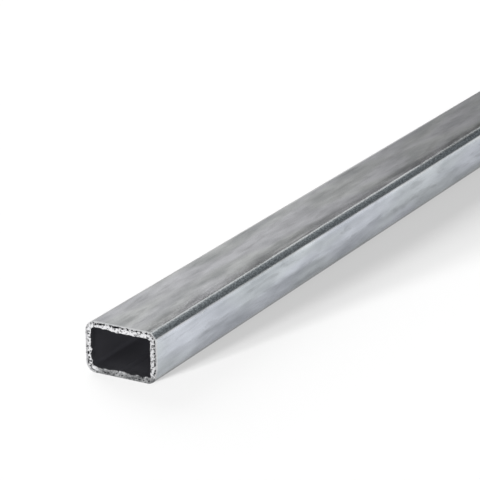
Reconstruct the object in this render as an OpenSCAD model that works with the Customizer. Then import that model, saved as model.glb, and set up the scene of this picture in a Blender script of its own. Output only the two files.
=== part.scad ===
// Rectangular steel tube: one length of cold-formed welded hollow section, sawn square at both ends.
// It lies along Y with its wide sides level, and the origin is in the middle of its underside.

/* [Section] */
// Width of the tube across its wide sides
tube_w = 30; // [20:0.5:80]
// Height of the tube across its narrow sides
tube_h = 20; // [15:0.5:60]
// Thickness of the wall
wall_t = 2.5; // [1.5:0.1:4]
// Outside radius of the four long corners
corner_r = 4; // [1:0.1:6]
// Inside radius of the four long corners
root_r = 1.5; // [0.2:0.1:3]

/* [Length] */
// Length between the sawn ends
tube_l = 1000; // [100:10:6000]

/* [Weld] */
// Width of the low weld bead along the inside of the bottom wall
bead_w = 2.6; // [1:0.1:4]
// Height of the bead over the inside of the wall
bead_h = 0.4; // [0.1:0.05:0.8]
// Distance from the tube's middle to the middle of the bead, across the tube
bead_x = 0.3; // [-3:0.1:3]

/* [Hidden] */

steel_colour = [0.64, 0.65, 0.66];

bore_w = tube_w - 2 * wall_t;
bore_h = tube_h - 2 * wall_t;

// The bead is the top of a circle that is bead_w wide where it meets the wall
bead_r = (pow(bead_w / 2, 2) + pow(bead_h, 2)) / (2 * bead_h);

$fn = 96;

// A w by h rectangle standing on the X axis, with corners of radius r
module rounded_rectangle(w, h, r) {
    translate([-w / 2 + r, 0]) square([w - 2 * r, h]);
    translate([-w / 2, r]) square([w, h - 2 * r]);
    for (x = [-w / 2 + r, w / 2 - r], y = [r, h - r])
        translate([x, y]) circle(r);
}

// Section of the bead, rooted half a wall deep in the bottom wall
module bead_section() {
    intersection() {
        translate([bead_x, wall_t + bead_h - bead_r]) circle(bead_r);
        translate([bead_x - bead_w, wall_t / 2]) square([2 * bead_w, wall_t / 2 + bead_h]);
    }
}

module tube_section() {
    difference() {
        rounded_rectangle(tube_w, tube_h, corner_r);
        translate([0, wall_t]) rounded_rectangle(bore_w, bore_h, root_r);
    }
    bead_section();
}

module rectangular_tube() {
    color(steel_colour)
        rotate([90, 0, 0])
            linear_extrude(height = tube_l, center = true)
                tube_section();
}

rectangular_tube();
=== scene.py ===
import math
import random

import bmesh
import bpy
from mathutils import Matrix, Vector, noise


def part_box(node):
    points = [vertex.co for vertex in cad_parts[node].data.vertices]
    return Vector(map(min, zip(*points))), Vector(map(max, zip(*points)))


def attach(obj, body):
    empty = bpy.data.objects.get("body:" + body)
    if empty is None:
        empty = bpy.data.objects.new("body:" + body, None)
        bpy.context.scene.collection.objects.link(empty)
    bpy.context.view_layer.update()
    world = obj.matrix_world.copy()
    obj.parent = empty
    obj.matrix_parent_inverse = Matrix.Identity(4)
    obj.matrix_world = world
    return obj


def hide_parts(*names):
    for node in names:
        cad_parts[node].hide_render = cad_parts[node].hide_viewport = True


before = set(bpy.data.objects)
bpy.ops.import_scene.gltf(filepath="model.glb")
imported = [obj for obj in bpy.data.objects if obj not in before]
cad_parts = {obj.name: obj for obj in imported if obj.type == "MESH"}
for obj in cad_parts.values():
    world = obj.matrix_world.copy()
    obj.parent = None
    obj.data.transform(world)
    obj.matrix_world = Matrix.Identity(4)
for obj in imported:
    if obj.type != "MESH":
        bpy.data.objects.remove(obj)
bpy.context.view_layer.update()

low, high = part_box("rectangular_tube")
middle = (low + high) / 2
size = high - low
mm = 0.001
print("frame loaded, tube", [round(side / mm, 1) for side in size], "mm")


# helpers

def hexColour(text):
    # an sRGB hex value as linear light
    parts = [int(text[i:i + 2], 16) / 255 for i in (1, 3, 5)]
    return [p / 12.92 if p <= 0.04045 else ((p + 0.055) / 1.055) ** 2.4 for p in parts] + [1.0]


def addNode(tree, kind, inputs=None, **settings):
    # one node with its settings, values and links
    # another node given as a value links its first live output
    node = tree.nodes.new(kind)
    for name, value in settings.items():
        setattr(node, name, value)
    for name, value in (inputs or {}).items():
        if isinstance(value, bpy.types.Node):
            value = next(socket for socket in value.outputs if socket.enabled)
        if isinstance(value, bpy.types.NodeSocket):
            tree.links.new(value, node.inputs[name])
        else:
            node.inputs[name].default_value = value
    return node


def newMaterial(name):
    material = bpy.data.materials.new(name)
    material.use_nodes = True
    material.node_tree.nodes.clear()
    return material, material.node_tree


def pick(piece, kind, test):
    # selects the vertices, edges or faces that pass a test, in edit mode
    bpy.ops.mesh.select_mode(type=kind)
    bpy.ops.mesh.select_all(action="DESELECT")
    mesh = bmesh.from_edit_mesh(piece.data)
    for part in {"VERT": mesh.verts, "EDGE": mesh.edges, "FACE": mesh.faces}[kind]:
        if test(part):
            part.select_set(True)
    bmesh.update_edit_mesh(piece.data)


def runs(edge, axis, shortest, straight=0.999):
    # true for an edge that runs along an axis and is longer than the shortest
    step = edge.verts[1].co - edge.verts[0].co
    return step.length > shortest and abs(step[axis]) > straight * step.length


def smoothStep(value, start, end):
    t = min(max((value - start) / (end - start), 0.0), 1.0)
    return t * t * (3 - 2 * t)


# tube

tube = {
    "wall": 2.5 * mm,
    "cornerRadius": 4 * mm,
    "cornerSteps": 24,          # strips round each corner, about 0.26 mm wide outside
    "columnStep": 0.25 * mm,    # width of the strips along the flat sides
    "wallRows": 11,             # cuts across the sawn wall
    "edgeBreak": 0.16 * mm,     # the saw leaves the outer edge barely broken
    "edgeSteps": 2,
    "lengthCuts": 39,           # rows about 24 mm apart along the tube
    "endRows": [0.3, 0.6, 1.0, 1.5, 2.2, 3.2, 5.0, 8.0, 12.5, 18.0],   # mm in from each sawn end
    "beadX": 0.3 * mm,          # the weld bead inside the bottom wall
    "beadHalfWidth": 1.3 * mm,
    "beadHeight": 0.4 * mm,
    "smoothBelow": 50,          # degrees between faces that still shade as one surface
}
endTolerance = 0.01 * mm
endFacing = 0.9             # a face of the sawn ends has at least this much of its normal along Y
shortestFlat = 3 * mm       # only the edges of the flat sides, not yet cut up, are longer
shortestAcross = 1 * mm     # in the sawn ends only the edges across the wall are longer
flatX = size.x / 2 - tube["cornerRadius"]   # half the flat part of a wide side
flatZ = size.z / 2 - tube["cornerRadius"]   # and of a narrow one


def pastFlats(point):
    # how far a point lies past the flat parts of the sides, across and up
    return abs(point.x) - flatX, abs(point.z - middle.z) - flatZ


def depthInWall(point):
    # distance in from the outer skin, seen along the tube
    across, upward = pastFlats(point)
    beyond = math.hypot(max(across, 0), max(upward, 0)) + min(max(across, upward), 0)
    return tube["cornerRadius"] - beyond


def inBore(point):
    return depthInWall(point) > tube["wall"] - endTolerance


def facesEnd(face):
    return abs(face.normal.y) > endFacing


def atEnd(edge):
    # true for an edge that lies in one of the two sawn ends
    ends = {round(v.co.y / size.y, 4) for v in edge.verts}
    return ends in ({-0.5}, {0.5})


bpy.ops.object.select_all(action="DESELECT")
bpy.ops.mesh.primitive_cube_add(size=1, location=middle, scale=size)
tubePiece = bpy.context.object
tubePiece.name = "steelTube"
bpy.ops.object.transform_apply(location=True, rotation=True, scale=True)

bpy.ops.object.mode_set(mode="EDIT")
pick(tubePiece, "EDGE", lambda e: runs(e, 1, size.y / 2))
bpy.ops.mesh.bevel(offset=tube["cornerRadius"], segments=tube["cornerSteps"], affect="EDGES")
pick(tubePiece, "FACE", facesEnd)
bpy.ops.mesh.inset(thickness=tube["wall"], use_even_offset=True)
bpy.ops.mesh.bridge_edge_loops()          # the two inset faces open into the bore
bpy.ops.object.mode_set(mode="OBJECT")

# three finishes on one piece: 0 the rolled skin, 1 the sawn ends, 2 the bore
for face in tubePiece.data.polygons:
    face.material_index = 1 if facesEnd(face) else 2 if inBore(face.center) else 0

bpy.ops.object.mode_set(mode="EDIT")
pick(tubePiece, "EDGE", lambda e: atEnd(e) and not any(inBore(v.co) for v in e.verts))
bpy.ops.mesh.bevel(offset=tube["edgeBreak"], segments=tube["edgeSteps"], affect="EDGES")
for axis, half in ((0, flatX), (2, flatZ)):
    pick(tubePiece, "EDGE", lambda e: runs(e, axis, shortestFlat))
    bpy.ops.mesh.subdivide(number_cuts=round(2 * half / tube["columnStep"]) - 1)
pick(tubePiece, "EDGE", lambda e: atEnd(e) and e.calc_length() > shortestAcross)
bpy.ops.mesh.subdivide(number_cuts=tube["wallRows"])
for inward in tube["endRows"]:
    for place in (low.y + inward * mm, high.y - inward * mm):
        bpy.ops.mesh.select_all(action="SELECT")
        bpy.ops.mesh.bisect(plane_co=(0, place, 0), plane_no=(0, 1, 0))

# the low weld bead inside the bottom wall, raised from one line of points
boreFloor = low.z + tube["wall"]
columns = {round(v.co.x, 7) for v in bmesh.from_edit_mesh(tubePiece.data).verts
           if abs(v.co.z - boreFloor) < endTolerance}
crest = min(columns, key=lambda x: abs(x - tube["beadX"]))
pick(tubePiece, "VERT",
     lambda v: abs(v.co.x - crest) < endTolerance and abs(v.co.z - boreFloor) < endTolerance)
bpy.ops.transform.translate(value=(0, 0, tube["beadHeight"]), use_proportional_edit=True,
                            proportional_edit_falloff="SPHERE", proportional_size=tube["beadHalfWidth"])
print("tube opened and cut into strips")

# burr: the saw drags steel over the inner edge, so it wanders in and out of the bore
burr = {
    "seed": 7,
    "pulls": 90,                        # at each end
    "reach": (-0.13 * mm, 0.18 * mm),   # outwards where it is below zero
    "spread": (0.35 * mm, 1.1 * mm),
    # seen on the near end, in mm: place across and up from the section's middle, pull, spread
    "lumps": [((-12.3, -5.7), (0.5, 0.0, 0.3), 0.8), ((-12.4, -0.9), (0.5, 0.1, 0.0), 0.5),
              ((-1.8, 7.5), (0.0, 0.0, -0.25), 1.3), ((1.5, 7.5), (0.0, 0.0, -0.15), 2.4),
              ((6.5, 7.5), (0.0, 0.0, -0.2), 3.2), ((-1.3, -7.5), (0.0, 0.3, -0.4), 0.45)],
    # where the burr broke off and left the bore wider
    "chips": [((-12.1, 7.1), (-0.4, 0.0, 0.4), 1.3), ((12.1, -7.1), (0.35, 0.0, -0.35), 1.2),
              ((-12.5, 5.0), (-0.45, 0.0, 0.0), 2.45), ((-12.5, 2.4), (-0.4, 0.0, 0.0), 2.4),
              ((-12.5, 0.2), (-0.35, 0.0, 0.0), 2.3), ((-12.5, -3.4), (-0.4, 0.0, 0.0), 2.2),
              ((-9.5, 7.5), (0.0, 0.0, 0.45), 2.45), ((-6.0, 7.5), (0.0, 0.0, 0.4), 2.45),
              ((-8.8, -7.5), (0.0, 0.0, -0.45), 2.45), ((-5.2, -7.5), (0.0, 0.0, -0.35), 2.4),
              ((0.3, -7.1), (0.0, 0.0, -0.4), 1.4), ((4.5, -7.5), (0.0, 0.0, -0.45), 2.45),
              ((8.8, -7.5), (0.0, 0.0, -0.35), 2.4)],
    # place across and up, spread and depth
    "gouges": [((-10.8, 9.0), 0.9, 0.55), ((-9.7, 9.2), 0.7, 0.55), ((-12.6, 9.0), 1.1, 0.26),
               ((-13.9, 7.6), 1.1, 0.26), ((-13.2, -2.0), 0.6, 0.55), ((-12.9, -3.0), 0.6, 0.55),
               ((-13.7, -4.4), 0.7, 0.55), ((-14.0, -0.9), 0.5, 0.45), ((-13.1, -5.9), 0.5, 0.55),
               ((-2.2, -8.7), 0.5, 0.55), ((9.0, -8.2), 0.8, 0.55)],
}


def pull(piece, vertexIndex, move, spread):
    # drags one point and the steel round it
    bpy.ops.mesh.select_all(action="DESELECT")
    mesh = bmesh.from_edit_mesh(piece.data)
    mesh.verts.ensure_lookup_table()
    mesh.verts[vertexIndex].select_set(True)
    bmesh.update_edit_mesh(piece.data)
    bpy.ops.transform.translate(value=move, use_proportional_edit=True,
                                proportional_edit_falloff="SMOOTH", proportional_size=spread)


def nearestIndex(piece, across, up):
    # the point nearest to a place on the near end, given in mm from the section's middle
    place = Vector((across * mm, low.y, middle.z + up * mm))
    mesh = bmesh.from_edit_mesh(piece.data)
    return min(mesh.verts, key=lambda v: (v.co - place).length).index


def intoBore(place):
    # from a point on the lip straight towards the open bore
    inX = min(max(place.x, -flatX), flatX)
    inZ = middle.z + min(max(place.z - middle.z, -flatZ), flatZ)
    return (Vector((inX, 0, inZ)) - Vector((place.x, 0, place.z))).normalized()


draw = random.Random(burr["seed"])
bpy.ops.mesh.select_mode(type="VERT")
for end in (low.y, high.y):
    mesh = bmesh.from_edit_mesh(tubePiece.data)
    lip = [(v.index, v.co.copy()) for v in mesh.verts
           if abs(v.co.y - end) < endTolerance and inBore(v.co)]
    for _ in range(burr["pulls"]):
        index, place = draw.choice(lip)
        move = intoBore(place) * draw.uniform(*burr["reach"])
        pull(tubePiece, index, move, draw.uniform(*burr["spread"]))
for (across, up), move, spread in burr["lumps"] + burr["chips"]:
    pull(tubePiece, nearestIndex(tubePiece, across, up), Vector(move) * mm, spread * mm)
for (across, up), spread, depth in burr["gouges"]:
    pull(tubePiece, nearestIndex(tubePiece, across, up), (0, depth * mm, 0), spread * mm)
pick(tubePiece, "EDGE", lambda e: runs(e, 1, size.y / 2))
bpy.ops.mesh.subdivide(number_cuts=tube["lengthCuts"])
bpy.ops.object.mode_set(mode="OBJECT")
print("burr raised")

# saw relief: grain all over the cut, and a row of torn pits behind the outer rim
sawCut = {
    "deepest": 1.2 * mm,
    # depth, cell size, steepness and level of the noise that sinks the steel
    "grain": (0.14 * mm, 0.45 * mm, 0.57, 0.40),
    "pits": (0.70 * mm, 0.70 * mm, 1.29, 0.25),
    "octaves": 3,
    "rim": 0.25 * mm,                   # the outer rim stands full height
    "pitRow": (0.28, 0.5, 0.85, 1.3),   # mm into the wall where the torn row starts, is full, fades and ends
    # how badly each wall tore as the blade came down through it, and how many mm deeper its row lies
    "tears": {"top": (1.1, 0.0), "right": (0.85, 0.15), "left": (0.5, 0.5), "lowLeft": (1.2, 0.2),
              "bottom": (0.5, 0.2)},
}


def tearAt(point):
    across, upward = pastFlats(point)
    above = point.z > middle.z
    if across <= upward:
        wall = "top" if above else "bottom"
    elif point.x > 0:
        wall = "right"
    else:
        wall = "left" if above else "lowLeft"
    share, deeper = sawCut["tears"][wall]
    start, full, fade, end = sawCut["pitRow"]
    depth = depthInWall(point) / mm - deeper
    return share * smoothStep(depth, start, full) * (1 - smoothStep(depth, fade, end))


def hollow(point, depth, cell, steepness, level):
    # how far cloudy noise sinks a point
    swell = noise.turbulence(point / cell, sawCut["octaves"], False, noise_basis="BLENDER")
    return depth * min(max(level + steepness * swell, 0), 1)


for name, end, inward in (("nearRelief", low.y, 1), ("farRelief", high.y, -1)):
    relief = tubePiece.vertex_groups.new(name=name)
    for vertex in tubePiece.data.vertices:
        if abs(vertex.co.y - end) < endTolerance:
            standing = smoothStep(depthInWall(vertex.co), sawCut["rim"], 2 * sawCut["rim"])
            worn = standing * hollow(vertex.co, *sawCut["grain"])
            torn = tearAt(vertex.co) * hollow(vertex.co, *sawCut["pits"])
            relief.add([vertex.index], (worn + torn) / sawCut["deepest"], "REPLACE")
    modifier = tubePiece.modifiers.new(name, "DISPLACE")
    modifier.direction = "Y"
    modifier.mid_level = 0
    modifier.strength = inward * sawCut["deepest"]
    modifier.vertex_group = name
    bpy.ops.object.modifier_apply(modifier=name)
tubePiece.vertex_groups.clear()

# how deep in the wall each point lies, in mm, for the finish of the cut
wallDepth = tubePiece.data.attributes.new("wallDepth", "FLOAT", "POINT")
for vertex in tubePiece.data.vertices:
    wallDepth.data[vertex.index].value = depthInWall(vertex.co) / mm
bpy.ops.object.shade_smooth_by_angle(angle=math.radians(tube["smoothBelow"]))
print("sawn ends roughened,", len(tubePiece.data.polygons), "faces")

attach(tubePiece, "root")
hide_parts("rectangular_tube")


# materials
# Mix node sockets: 0 is the factor, 2 and 3 take numbers, 6 and 7 colours

def pattern(tree, place, cell, detail, span=(0.3, 0.7), distortion=0.0, roughness=0.6):
    # cloudy noise with cells of a size in mm across and along the tube
    # the span of it that shows is stretched to run from 0 to 1
    across, along = cell
    perCell = (1 / (across * mm), 1 / (along * mm), 1 / (across * mm))
    scaled = addNode(tree, "ShaderNodeMapping", {"Vector": place, "Scale": perCell})
    cloudy = addNode(tree, "ShaderNodeTexNoise", {"Vector": scaled, "Scale": 1.0, "Detail": detail,
                                                  "Roughness": roughness, "Distortion": distortion})
    return addNode(tree, "ShaderNodeMapRange", {"Value": cloudy, "From Min": span[0], "From Max": span[1]})


def mask(tree, *ramps):
    # product of smooth steps, each a value that counts 0 at its start and 1 at its end
    product = None
    for value, start, end in ramps:
        step = addNode(tree, "ShaderNodeMapRange", {"Value": value, "From Min": start, "From Max": end},
                       interpolation_type="SMOOTHSTEP")
        if product is None:
            product = step
        else:
            product = addNode(tree, "ShaderNodeMath", {0: product, 1: step}, operation="MULTIPLY")
    return product


def layer(tree, under, over, *ramps, blend="MIX"):
    # a colour laid over another one, or multiplied into it, where a product of smooth steps says so
    share = mask(tree, *ramps) if ramps else 1.0
    if isinstance(over, float):
        over = (over, over, over, 1)
    return addNode(tree, "ShaderNodeMix", {0: share, 6: under, 7: over}, data_type="RGBA", blend_type=blend)


skin = {
    # bare cold-rolled steel, formed and dragged through rolls
    # satin, with smoky patches and faint lengthwise hairs; tones with their places on the ramp
    "dark": (0.15, "#9EA0A2"),
    "middle": (0.50, "#BDBEBF"),
    "light": (0.85, "#D8D9DA"),
    "glancing": "#CFCFCF",           # the oxide film dims the sheen at a glancing angle
    # the film is faintly green here and violet there
    "hues": ((0.995, 1.0, 0.99, 1), (1.0, 0.993, 1.02, 1)),
    "sides": (1.21, 1.26, 1.32, 1),  # painted highlight: the sides are painted lighter and bluer for the brighter reflection they catch
    "sideCalm": 0.40,                # the side rolls leave the sides smoother in tone, evening out the smoky patches
    "sideLowShade": 0.80,                 # painted shade: the lower part of the sides is darker, and darker still near the foot, for the floor's shadow they reflect
    "sideFootShade": 0.84,
    "bends": "#C7CCCE",              # the bends are darker: partly the mill film they keep, partly painted shade for the dark band they reflect
    "bendGrain": "#94999C",
    "bendFootShade": 0.72,                # painted shade: darker still on the part of each bend that turns towards the sides
    "paintedHighlight": "#D6D8D9",             # painted highlight where each bend begins and along the rim by the cut
    "darkerBesideBend": 0.55,                    # darker on the wide faces beside one bend
    "wisps": 0.86,                   # sharper-edged darker wisps of film
    # patterns: cell in mm across and along the tube, detail, and where they differ from the usual ones
    # the span that shows and the distortion
    "smoke": ((6.5, 31), 2.5, (0.28, 0.72), 0.15),
    "streak": ((2.3, 20), 4.0),
    "hair": ((0.5, 24), 2.0),        # real drawing lines are about 0.05 mm, coarsened to show
    "grain": ((0.35, 0.45), 2.0),
    "speck": ((0.5, 1.3), 2.0, (0.35, 0.65)),
    "hue": ((12, 60), 1.0, (0.4, 0.6)),
    "wisp": ((2.8, 18), 4.0, (0.52, 0.66), 0.5),
    # how much of one pattern is mixed into the others
    "streakShare": 0.16,
    "hairShare": 0.07,
    "grainShare": 0.24,
    "specksInWander": 0.5,
    "streaksInWaver": 0.6,
    "specksInBreaks": 0.4,
    "wander": 0.10,                  # how far the edges of lines and strips wander round a bend
    "waver": 4 * mm,                 # how far the top of the sides' duller part wavers
    "ragged": 0.9,                   # how far the outlines of the marks are broken up
    "burnishAndHighlightRagged": 0.5 * mm,
    # where each smooth step starts and is full: side and up are how squarely the skin faces that way,
    # from 0 to 1, broken and wisp are shades of their patterns, and the rest are places or distances
    "steps": {
        "calmSide": (0.9, 0.99),
        "wisp": (0.1, 1.0),
        "onSide": (0.3, 0.6),
        "sidesSide": (0.915, 0.965),
        "sideLowShadeHeight": (13 * mm, 9.6 * mm),
        "sideFootShadeHeight": (9 * mm, 5.5 * mm),
        "darkerBesideBendAcross": (6 * mm, 10 * mm),
        "darkerBesideBendUp": (0.965, 0.995),
        "darkerBesideBendBroken": (1.1, 0.1),
        "upperLineSide": (0.20, 0.30),
        "upperLineEndSide": (0.48, 0.41),
        "upperLineBroken": (0.34, 0.60),
        "stripSide": (0.42, 0.49),
        "stripUp": (0.40, 0.48),
        "stripFootShadeSide": (0.56, 0.86),
        "lowerLineUp": (0.10, 0.22),
        "lowerLineEndUp": (0.42, 0.34),
        "lowerLineBroken": (0.62, 0.85),
        "lowerLineHeight": (12 * mm, 16 * mm),
        "mark": (1.55, 0.55),
        "burnishAndHighlight": (0.9 * mm, 0.2 * mm),
        "burnishAndHighlightHeight": (3 * mm, 8 * mm),
        "turningSide": (0.12, 0.25),
        "turningUp": (0.05, 0.2),
    },
    "roughness": (0.41, 0.31),        # dull and shiny patches
    "bendRoughness": 0.20,
    "hairHeight": 0.012 * mm,
    "hairBump": 0.4,
    # marks on the near length, in mm: middle across, in from the cut and up, half widths, and brightness
    "marks": [
        ((10.0, 34, 20), (2.4, 17, 1.6), 0.66),
        ((-9.2, 88, 20), (1.5, 12, 6), 0.86),
        ((-8.0, 124, 20), (5.0, 24, 6), 1.13),
        ((2.0, 105, 20), (9.0, 9, 6), 1.10),
        ((-5.5, 155, 20), (5.0, 12, 6), 1.06),
        ((5.0, 176, 20), (5.0, 13, 6), 1.13),
        ((-3.0, 186, 20), (1.0, 18, 6), 0.80),
        ((-3.8, 232, 20), (1.7, 26, 6), 0.79),
        ((-10.0, 206, 20), (1.0, 12, 6), 0.80),
        ((5.0, 36, 20), (3.6, 42, 6), 1.10),
        ((8.4, 220, 20), (3.0, 28, 1.4), 0.84),
        ((-2.0, 279, 20), (9.0, 8, 6), 0.93),
        ((8.6, 126, 20), (2.2, 14, 1.4), 0.86),
        ((5.5, 20, 20), (3.0, 12, 6), 1.05),
        ((8.6, 262, 20), (1.8, 8, 6), 1.10),
        # these two are painted shade over the far length of the upper bend and its highlight line
        ((12.0, 290, 20), (2.6, 70, 1.6), 0.66),
        ((12.6, 270, 19.4), (1.6, 60, 0.9), 0.64),
        # those at 15 across lie on the +X side and paint its light and shade: brighter on the lower bend and
        # near the top, darker round the middle height
        ((15.0, 75, 0.5), (6, 110, 2.6), 1.20),
        ((15.0, 37, 8.0), (6, 12, 2.2), 0.92),
        ((15.0, 110, 7.8), (6, 38, 2.0), 0.94),
        ((15.0, 210, 8.4), (6, 24, 1.8), 0.94),
        ((15.0, 20, 12.5), (6, 24, 3.4), 0.95),
        ((15.0, 190, 16.5), (6, 100, 2.6), 1.08),
    ],
}


def rolledSteel():
    material, tree = newMaterial("coldRolledSteel")
    steps = skin["steps"]
    coords = addNode(tree, "ShaderNodeTexCoord")
    place = coords.outputs["Object"]
    where = addNode(tree, "ShaderNodeSeparateXYZ", {0: place}).outputs
    height = where["Z"]
    facing = addNode(tree, "ShaderNodeSeparateXYZ", {0: coords.outputs["Normal"]}).outputs
    up = addNode(tree, "ShaderNodeMath", {0: facing["Z"]}, operation="ABSOLUTE")
    side = addNode(tree, "ShaderNodeMath", {0: facing["X"]}, operation="ABSOLUTE")

    smoke = pattern(tree, place, *skin["smoke"])
    streak = pattern(tree, place, *skin["streak"])
    hair = pattern(tree, place, *skin["hair"])
    grain = pattern(tree, place, *skin["grain"])
    speck = pattern(tree, place, *skin["speck"])
    cloud = addNode(tree, "ShaderNodeMix", {0: skin["streakShare"], 2: smoke, 3: streak})
    lined = addNode(tree, "ShaderNodeMix", {0: skin["hairShare"], 2: cloud, 3: hair})
    tone = addNode(tree, "ShaderNodeMix", {0: skin["grainShare"], 2: lined, 3: grain})
    start, full = steps["calmSide"]
    calm = addNode(tree, "ShaderNodeMapRange", {"Value": side, "From Min": start, "From Max": full,
                                                "To Max": skin["sideCalm"]})
    evenTone = addNode(tree, "ShaderNodeMix", {0: calm, 2: tone, 3: skin["middle"][0]})
    ramp = addNode(tree, "ShaderNodeValToRGB", {"Fac": evenTone})
    stops = ramp.color_ramp.elements
    stops[0].position, stops[0].color = skin["dark"][0], hexColour(skin["dark"][1])
    stops[1].position, stops[1].color = skin["light"][0], hexColour(skin["light"][1])
    stops.new(skin["middle"][0]).color = hexColour(skin["middle"][1])
    hue = pattern(tree, place, *skin["hue"])
    hues = layer(tree, skin["hues"][0], skin["hues"][1], (hue, 0.0, 1.0))
    colour = layer(tree, ramp, hues, blend="MULTIPLY")
    wisp = pattern(tree, place, *skin["wisp"])
    colour = layer(tree, colour, skin["wisps"], (wisp, *steps["wisp"]), blend="MULTIPLY")

    # the edges of lines and strips wander a little along the tube
    wander = addNode(tree, "ShaderNodeMix", {0: skin["specksInWander"], 2: streak, 3: speck})
    sideways = addNode(tree, "ShaderNodeMath", {0: wander, 1: skin["wander"], 2: side},
                       operation="MULTIPLY_ADD")

    # sides: a painted highlight tint, and painted shade on the lower part, with a wavering top
    onSide = (side, *steps["onSide"])
    uneven = addNode(tree, "ShaderNodeMix", {0: skin["streaksInWaver"], 2: smoke, 3: streak})
    wavering = addNode(tree, "ShaderNodeMath", {0: uneven, 1: skin["waver"], 2: height},
                       operation="MULTIPLY_ADD")
    colour = layer(tree, colour, skin["sides"], (side, *steps["sidesSide"]), blend="MULTIPLY")
    colour = layer(tree, colour, skin["sideLowShade"], onSide, (wavering, *steps["sideLowShadeHeight"]),
                   blend="MULTIPLY")
    colour = layer(tree, colour, skin["sideFootShade"], onSide, (wavering, *steps["sideFootShadeHeight"]),
                   blend="MULTIPLY")

    # wide faces: darker beside one bend, broken into specks
    broken = addNode(tree, "ShaderNodeMix", {0: skin["specksInBreaks"], 2: streak, 3: speck})
    colour = layer(tree, colour, skin["darkerBesideBend"], (where["X"], *steps["darkerBesideBendAcross"]),
                   (up, *steps["darkerBesideBendUp"]), (broken, *steps["darkerBesideBendBroken"]), blend="MULTIPLY")

    # bends: a painted highlight line where each begins, then a darker grained strip, partly mill film and
    # partly painted shade
    paintedHighlight = hexColour(skin["paintedHighlight"])
    colour = layer(tree, colour, paintedHighlight, (sideways, *steps["upperLineSide"]),
                   (sideways, *steps["upperLineEndSide"]), (broken, *steps["upperLineBroken"]))
    strip = layer(tree, hexColour(skin["bendGrain"]), hexColour(skin["bends"]), (speck, 0.0, 1.0))
    strip = layer(tree, strip, skin["bendFootShade"], (side, *steps["stripFootShadeSide"]), blend="MULTIPLY")
    colour = layer(tree, colour, strip, (sideways, *steps["stripSide"]), (up, *steps["stripUp"]))
    colour = layer(tree, colour, paintedHighlight, (up, *steps["lowerLineUp"]), (up, *steps["lowerLineEndUp"]),
                   (broken, *steps["lowerLineBroken"]), (height, *steps["lowerLineHeight"]))

    # soft marks, each an ellipsoid that fades out and is broken up by streaks and specks
    for (across, inMm, upMm), halfWidths, shade in skin["marks"]:
        centre = (across * mm, low.y + inMm * mm, upMm * mm)
        shrink = [1 / (half * mm) for half in halfWidths]
        shifted = addNode(tree, "ShaderNodeVectorMath", {0: place, 1: centre}, operation="SUBTRACT")
        scaled = addNode(tree, "ShaderNodeVectorMath", {0: shifted, 1: shrink}, operation="MULTIPLY")
        away = addNode(tree, "ShaderNodeVectorMath", {0: scaled}, operation="LENGTH")
        ragged = addNode(tree, "ShaderNodeMath", {0: broken, 1: skin["ragged"], 2: away},
                         operation="MULTIPLY_ADD")
        colour = layer(tree, colour, shade, (ragged, *steps["mark"]), blend="MULTIPLY")

    # the last millimetre before the cut, rubbed by the saw, is painted bright from about 3 mm up: part
    # burnish, part painted highlight along the rim
    inward = addNode(tree, "ShaderNodeMath", {0: where["Y"]}, operation="ABSOLUTE")
    reach = addNode(tree, "ShaderNodeMath", {0: speck, 1: skin["burnishAndHighlightRagged"], 2: inward},
                    operation="MULTIPLY_ADD")
    start, full = steps["burnishAndHighlight"]
    colour = layer(tree, colour, paintedHighlight, (reach, high.y - start, high.y - full),
                   (height, *steps["burnishAndHighlightHeight"]))

    dull, sheen = skin["roughness"]
    rough = addNode(tree, "ShaderNodeMapRange", {"Value": cloud, "To Min": dull, "To Max": sheen})
    turning = mask(tree, (side, *steps["turningSide"]), (up, *steps["turningUp"]))
    rough = addNode(tree, "ShaderNodeMix", {0: turning, 2: rough, 3: skin["bendRoughness"]})
    bump = addNode(tree, "ShaderNodeBump", {"Height": hair, "Strength": skin["hairBump"],
                                            "Distance": skin["hairHeight"]})
    shader = addNode(tree, "ShaderNodeBsdfPrincipled", {
        "Base Color": colour, "Metallic": 1.0, "Roughness": rough,
        "Specular Tint": hexColour(skin["glancing"]), "Normal": bump})
    addNode(tree, "ShaderNodeOutputMaterial", {"Surface": shader})
    return material


cut = {
    # freshly sawn steel: bright torn grain, with painted shade in the pits
    "bright": "#F4F4F6",
    "grey": "#646567",
    "pitShade": "#3E3F41",
    "pitShadeDepths": (0.17 * mm, 0.36 * mm),   # depths where the painted pit shade starts and is full
    "grain": ((0.75, 0.75), 4.0, (0.37, 0.51)),   # cell in mm, detail and span, as in the skin
    "smear": ((1.6, 1.6), 3.0),
    "rim": 0.70,                    # the outer third was torn, not cut, and is duller
    "rimDepths": (1.5, 0.9),        # mm into the wall where that starts and is full
    "rimRagged": 0.7,
    "blunt": 0.88,                  # the blade left the +X wall last and blunter, and less bright
    "bluntAcross": (11 * mm, 12.5 * mm),
    # painted shade: the lowest wall of the cut is darker, mottled with the grain
    "lowWallShades": ("#525355", "#A6A7A8"),
    "grainInLowShade": 0.35,
    "lowShadeWaver": 1.2 * mm,
    "lowShadeHeight": (4.4 * mm, 2.4 * mm),
    "lowShadeSmear": (1.8, 0.4),
    "lowShadeAcross": (-12 * mm, -9 * mm),
    "roughness": 0.36,
    "grainHeight": 0.05 * mm,
    "grainBump": 0.7,
}


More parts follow.
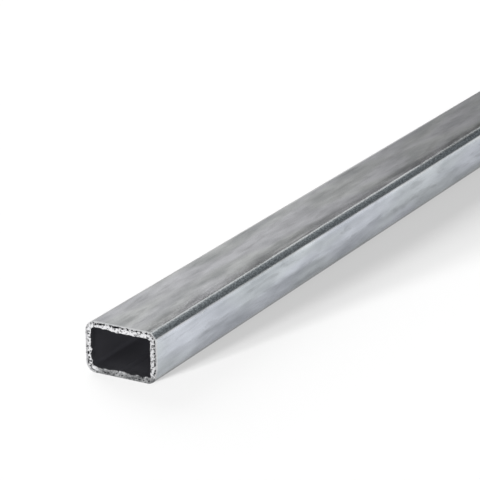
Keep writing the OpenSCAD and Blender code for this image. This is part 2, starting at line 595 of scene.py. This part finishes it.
def sawnSteel():
    material, tree = newMaterial("freshlySawnSteel")
    coords = addNode(tree, "ShaderNodeTexCoord")
    place = coords.outputs["Object"]
    grain = pattern(tree, place, *cut["grain"])
    smear = pattern(tree, place, *cut["smear"])
    where = addNode(tree, "ShaderNodeSeparateXYZ", {0: place}).outputs
    across = where["X"]
    colour = layer(tree, hexColour(cut["grey"]), hexColour(cut["bright"]), (grain, 0.0, 1.0))
    colour = layer(tree, colour, cut["blunt"], (across, *cut["bluntAcross"]), blend="MULTIPLY")
    # painted shade on the lowest wall, with a wavering top
    height = addNode(tree, "ShaderNodeMath", {0: smear, 1: cut["lowShadeWaver"], 2: where["Z"]},
                     operation="MULTIPLY_ADD")
    lowShadeMottle = addNode(tree, "ShaderNodeMix", {0: cut["grainInLowShade"], 2: smear, 3: grain})
    lowShade = layer(tree, hexColour(cut["lowWallShades"][0]), hexColour(cut["lowWallShades"][1]), (lowShadeMottle, 0.0, 1.0))
    colour = layer(tree, colour, lowShade, (height, *cut["lowShadeHeight"]), (smear, *cut["lowShadeSmear"]),
                   (across, *cut["lowShadeAcross"]))
    depth = addNode(tree, "ShaderNodeAttribute", attribute_name="wallDepth").outputs["Fac"]
    ragged = addNode(tree, "ShaderNodeMath", {0: smear, 1: cut["rimRagged"], 2: depth},
                     operation="MULTIPLY_ADD")
    colour = layer(tree, colour, cut["rim"], (ragged, *cut["rimDepths"]), blend="MULTIPLY")
    # painted shade: the deeper a point of the cut lies in a pit, the darker
    inward = addNode(tree, "ShaderNodeMath", {0: where["Y"]}, operation="ABSOLUTE")
    shallow, deep = cut["pitShadeDepths"]
    colour = layer(tree, colour, hexColour(cut["pitShade"]), (inward, high.y - shallow, high.y - deep))
    bump = addNode(tree, "ShaderNodeBump", {"Height": grain, "Strength": cut["grainBump"],
                                            "Distance": cut["grainHeight"]})
    shader = addNode(tree, "ShaderNodeBsdfPrincipled", {
        "Base Color": colour, "Metallic": 1.0, "Roughness": cut["roughness"], "Normal": bump})
    addNode(tree, "ShaderNodeOutputMaterial", {"Surface": shader})
    return material


bore = {
    # the inside keeps its mill scale and a film of oil: nearly black and dull
    "scale": "#3E3E43",
    "worn": "#434348",
    "patch": ((6, 30), 3.0),        # cell in mm and detail, as in the skin
    "metal": 0.15,
    "roughness": 0.65,
    "mouthShade": 0.8,                   # painted shade: the first millimetres inside the mouth are darker
    "mouthShadeDepths": (1.5 * mm, 6 * mm),
}


def milledScale():
    material, tree = newMaterial("millScale")
    coords = addNode(tree, "ShaderNodeTexCoord")
    patch = pattern(tree, coords.outputs["Object"], *bore["patch"])
    colour = layer(tree, hexColour(bore["scale"]), hexColour(bore["worn"]), (patch, 0.0, 1.0))
    where = addNode(tree, "ShaderNodeSeparateXYZ", {0: coords.outputs["Object"]}).outputs
    inward = addNode(tree, "ShaderNodeMath", {0: where["Y"]}, operation="ABSOLUTE")
    # painted shade near the mouth
    full, faded = bore["mouthShadeDepths"]
    colour = layer(tree, colour, bore["mouthShade"], (inward, high.y - faded, high.y - full), blend="MULTIPLY")
    shader = addNode(tree, "ShaderNodeBsdfPrincipled", {
        "Base Color": colour, "Metallic": bore["metal"], "Roughness": bore["roughness"]})
    addNode(tree, "ShaderNodeOutputMaterial", {"Surface": shader})
    return material


for material in (rolledSteel(), sawnSteel(), milledScale()):
    tubePiece.data.materials.append(material)
print("finishes made")


# studio

studio = {
    "floorWidth": 60,               # metres
    "glow": 0.547,                  # share of the floor's white that no shadow takes away
    "glossyGlow": 0.55,             # share of the shadow that the tube's own reflections miss
    "paint": 0.051,                 # share of the room's light that the floor sends back
    # soft suns that light only the floor: compass angle from +Y towards +X, height and width of the disc
    # in degrees, and how much of the floor's white it gives
    "suns": [(-173.5, 3.3, 6.3, 0.172), (-166.4, 3.2, 6.3, 0.148), (-51, 20.6, 41, 0.095)],
    "sunDistance": 3,               # metres, which their light doesn't depend on
    # boards behind the tube that only reflections see: shade, middle, span across and up
    # and how far the lower left corner hangs down
    "boards": [("#9A9A9A", (-0.70, 1.6, 0.45), (0.62, 0.90), 0),
               ("#8A8A8A", (-0.60, 1.62, 1.20), (0.40, 0.90), 0),
               ("#8E9295", (0.98, 1.6, 1.125), (1.82, 1.27), 0.52)],
    # lamp that lifts the deep shade in the bore and shows in no view
    # metres inside the near mouth, width, watts and spread in degrees
    "boreLamp": (0.12, 10 * mm, 0.022, 40),
}

world = bpy.data.worlds.new("softRoom")
bpy.context.scene.world = world
world.use_nodes = True
world.node_tree.nodes.clear()
sky = addNode(world.node_tree, "ShaderNodeBackground", {"Color": (1, 1, 1, 1), "Strength": 1.0})
addNode(world.node_tree, "ShaderNodeOutputWorld", {"Surface": sky})


def paleFloor():
    # glows for what the camera and mirror reflections see, and is dark for light on its way to matt surfaces
    material, tree = newMaterial("paleFloor")
    ray = addNode(tree, "ShaderNodeLightPath").outputs
    # 1 until a ray has met a matt surface
    early = addNode(tree, "ShaderNodeMath", {0: ray["Diffuse Depth"], 1: 0.5}, operation="LESS_THAN")
    seen = addNode(tree, "ShaderNodeMath", {0: ray["Is Camera Ray"], 1: ray["Is Glossy Ray"]},
                   operation="MAXIMUM")
    seen = addNode(tree, "ShaderNodeMath", {0: seen, 1: ray["Is Transmission Ray"]}, operation="MAXIMUM")
    seen = addNode(tree, "ShaderNodeMath", {0: seen, 1: early}, operation="MULTIPLY")
    glowing = addNode(tree, "ShaderNodeMath", {0: seen, 1: studio["glow"]}, operation="MULTIPLY")
    glow = addNode(tree, "ShaderNodeEmission", {"Color": (1, 1, 1, 1), "Strength": glowing})
    paint = addNode(tree, "ShaderNodeBsdfDiffuse", {"Color": [studio["paint"]] * 3 + [1]})
    shaded = addNode(tree, "ShaderNodeAddShader", {0: glow, 1: paint})
    # reflections see less of the shadow
    mirrored = addNode(tree, "ShaderNodeMath", {0: ray["Is Glossy Ray"], 1: early}, operation="MULTIPLY")
    share = addNode(tree, "ShaderNodeMath", {0: mirrored, 1: studio["glossyGlow"]}, operation="MULTIPLY")
    white = addNode(tree, "ShaderNodeEmission", {"Color": (1, 1, 1, 1), "Strength": 1.0})
    surface = addNode(tree, "ShaderNodeMixShader", {0: share, 1: shaded, 2: white})
    addNode(tree, "ShaderNodeOutputMaterial", {"Surface": surface})
    return material


bpy.ops.object.select_all(action="DESELECT")
bpy.ops.mesh.primitive_plane_add(size=studio["floorWidth"])
floor = bpy.context.object
floor.name = "floor"
floor.data.materials.append(paleFloor())
floorOnly = bpy.data.collections.new("litBySuns")
floorOnly.objects.link(floor)

for number, (shade, place, span, hang) in enumerate(studio["boards"]):
    bpy.ops.mesh.primitive_plane_add(size=1, location=place, rotation=(math.radians(90), 0, 0))
    board = bpy.context.object
    board.name = "board" + str(number)
    board.scale = (span[0], span[1], 1)
    min(board.data.vertices, key=lambda v: v.co.x + v.co.y).co.y -= hang / span[1]
    board.visible_camera = board.visible_diffuse = board.visible_shadow = board.visible_transmission = False
    material, tree = newMaterial(board.name + "Paint")
    glow = addNode(tree, "ShaderNodeEmission", {"Color": hexColour(shade), "Strength": 1.0})
    addNode(tree, "ShaderNodeOutputMaterial", {"Surface": glow})
    board.data.materials.append(material)

for azimuth, height, width, share in studio["suns"]:
    turn, tilt = math.radians(azimuth), math.radians(height)
    towards = Vector((math.sin(turn) * math.cos(tilt), math.cos(turn) * math.cos(tilt), math.sin(tilt)))
    bpy.ops.object.light_add(type="SUN", location=towards * studio["sunDistance"],
                             rotation=towards.to_track_quat("Z", "Y").to_euler())
    sun = bpy.context.object
    sun.data.angle = math.radians(width)
    sun.data.energy = share * math.pi / studio["paint"] / math.sin(tilt)
    sun.visible_glossy = False
    sun.light_linking.receiver_collection = floorOnly

inward, width, watts, spread = studio["boreLamp"]
bpy.ops.object.light_add(type="AREA", location=(0, low.y + inward, middle.z),
                         rotation=(math.radians(-90), 0, 0))
inside = bpy.context.object
inside.data.shape = "DISK"
inside.data.size = width
inside.data.energy = watts
inside.data.spread = math.radians(spread)
inside.visible_camera = inside.visible_glossy = False
print("floor, boards and lamps in place")

# camera: the photograph's view of the near end, fitted to the section's outline
view = {
    "fromEnd": (427.96, -679.96, 321.92),      # mm from the middle of the near cut
    "turn": (70.82544, 0.26818, 28.99782),     # degrees
    "focalPixels": 2384.5,
    "framePixels": 480,
}
nearEnd = Vector((middle.x, low.y, middle.z))
bpy.ops.object.camera_add(location=nearEnd + Vector(view["fromEnd"]) * mm,
                          rotation=[math.radians(angle) for angle in view["turn"]])
camera = bpy.context.object
camera.data.lens = camera.data.sensor_width * view["focalPixels"] / view["framePixels"]
bpy.context.scene.camera = camera
bpy.context.scene.view_settings.view_transform = "Standard"
print("camera set")
